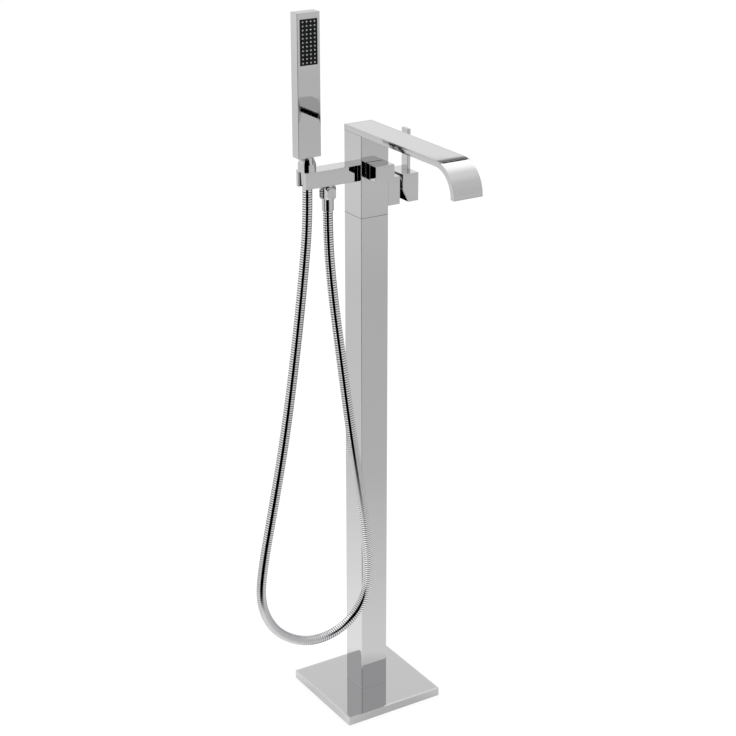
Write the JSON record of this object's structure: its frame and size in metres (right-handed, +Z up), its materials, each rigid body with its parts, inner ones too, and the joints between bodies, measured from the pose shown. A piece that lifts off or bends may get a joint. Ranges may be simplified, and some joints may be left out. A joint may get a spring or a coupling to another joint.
{
  "type": "floor standing bath filler",
  "caption": "Floor standing square-section bath filler with a flat waterfall spout, side mixer lever, diverter knob and a slim bar hand shower on a ribbed hose.",
  "frame": {"origin": "on the column's axis at the underside of the floor flange, z = 0 is the floor", "axes": "+Z up, -Y the way the spout points, +X the mixer lever's side, -X the hand shower's side"},
  "size_m": [0.2748, 0.3235, 1.0475],
  "materials": {
    "polished_chrome": "polished chrome plate on brass",
    "chrome_hose": "polished ribbed metal sheath",
    "black_plate": "satin black moulding",
    "grey_nozzle": "soft grey silicone",
    "stainless": "plain stainless steel",
    "raw_brass": "unplated brass",
    "ceramic": "ground white ceramic",
    "grey_plastic": "dark grey nylon",
    "white_plastic": "natural white acetal",
    "seal_rubber": "black sealing rubber"
  },
  "bodies": {
    "stand": {"floor_flange": "polished_chrome", "base_cover": "polished_chrome", "foot_spigot": "stainless", "column_tube": "polished_chrome", "foot_lock_screws": "stainless", "body_lock_screws": "stainless", "hot_riser": "raw_brass", "cold_riser": "raw_brass", "inlet_tails": "raw_brass", "riser_seals": "seal_rubber", "riser_spacers": "white_plastic", "valve_body": "polished_chrome", "port_seals": "seal_rubber", "mixer_housing": "polished_chrome", "housing_screws": "stainless", "cartridge_body": "grey_plastic", "fixed_disc": "ceramic", "ring_nut": "polished_chrome", "dome_ring": "polished_chrome", "diverter_sleeve": "raw_brass", "gland_seal": "seal_rubber", "diverter_gland": "raw_brass", "spout_channel": "polished_chrome", "spout_cover": "polished_chrome", "spout_nipple": "raw_brass", "spout_seal": "seal_rubber", "spout_screws": "stainless", "shower_arm": "polished_chrome", "holder_bush": "grey_plastic", "arm_nipple": "raw_brass", "arm_seal": "seal_rubber", "arm_dowels": "stainless", "outlet_nipple": "polished_chrome", "check_valve_cage": "white_plastic", "hose_nut": "polished_chrome", "outlet_washer": "seal_rubber", "outlet_ferrule": "polished_chrome", "hose_sheath": "chrome_hose", "hose_liner": "white_plastic"},
    "mixer_rotor": {"moving_disc": "ceramic", "cartridge_rotor": "grey_plastic", "pivot_pin": "stainless"},
    "mixer_handle": {"mixer_stem": "stainless", "handle_block": "polished_chrome", "handle_grub_screw": "stainless", "lever_bar": "polished_chrome"},
    "diverter": {"diverter_spindle": "raw_brass", "diverter_knob": "polished_chrome", "knob_grub_screw": "stainless"},
    "check_poppet": {"check_valve_poppet": "grey_plastic"},
    "hose_end": {"hand_ferrule": "polished_chrome"},
    "handset": {"conical_nut": "polished_chrome", "handset_washer": "seal_rubber", "handset_neck": "polished_chrome", "handset_shell": "polished_chrome", "spray_plate": "black_plate", "nozzle_mat": "grey_nozzle", "spray_tray": "white_plastic", "feed_tube": "white_plastic"}
  },
  "joints": [
    {"name": "temperature_turn", "type": "hinge", "parent": "stand", "child": "mixer_rotor", "pos_m": [0.018, 0, 0.7915], "axis": [1, 0, 0], "range_deg": [-45, 45]},
    {"name": "flow_tilt", "type": "hinge", "parent": "mixer_rotor", "child": "mixer_handle", "pos_m": [0.027, 0, 0.7915], "axis": [0, 1, 0], "range_deg": [0, 25]},
    {"name": "diverter_turn", "type": "hinge", "parent": "stand", "child": "diverter", "pos_m": [0, -0.022, 0.8274], "axis": [0, -1, 0], "range_deg": [0, 90]},
    {"name": "check_valve_travel", "type": "slide", "parent": "stand", "child": "check_poppet", "axis": [0, 0, -1], "range_m": [0, 0.0015], "stiffness_N_per_m": 60, "springref_m": -0.0005},
    {"name": "handset_lift", "type": "slide", "parent": "stand", "child": "hose_end", "axis": [0, 0, 1], "range_m": [0, 0.025]},
    {"name": "handset_swivel", "type": "hinge", "parent": "hose_end", "child": "handset", "pos_m": [-0.094, 0, 0.8348], "axis": [0, 0, 1], "range_deg": [-180, 180]}
  ]
}
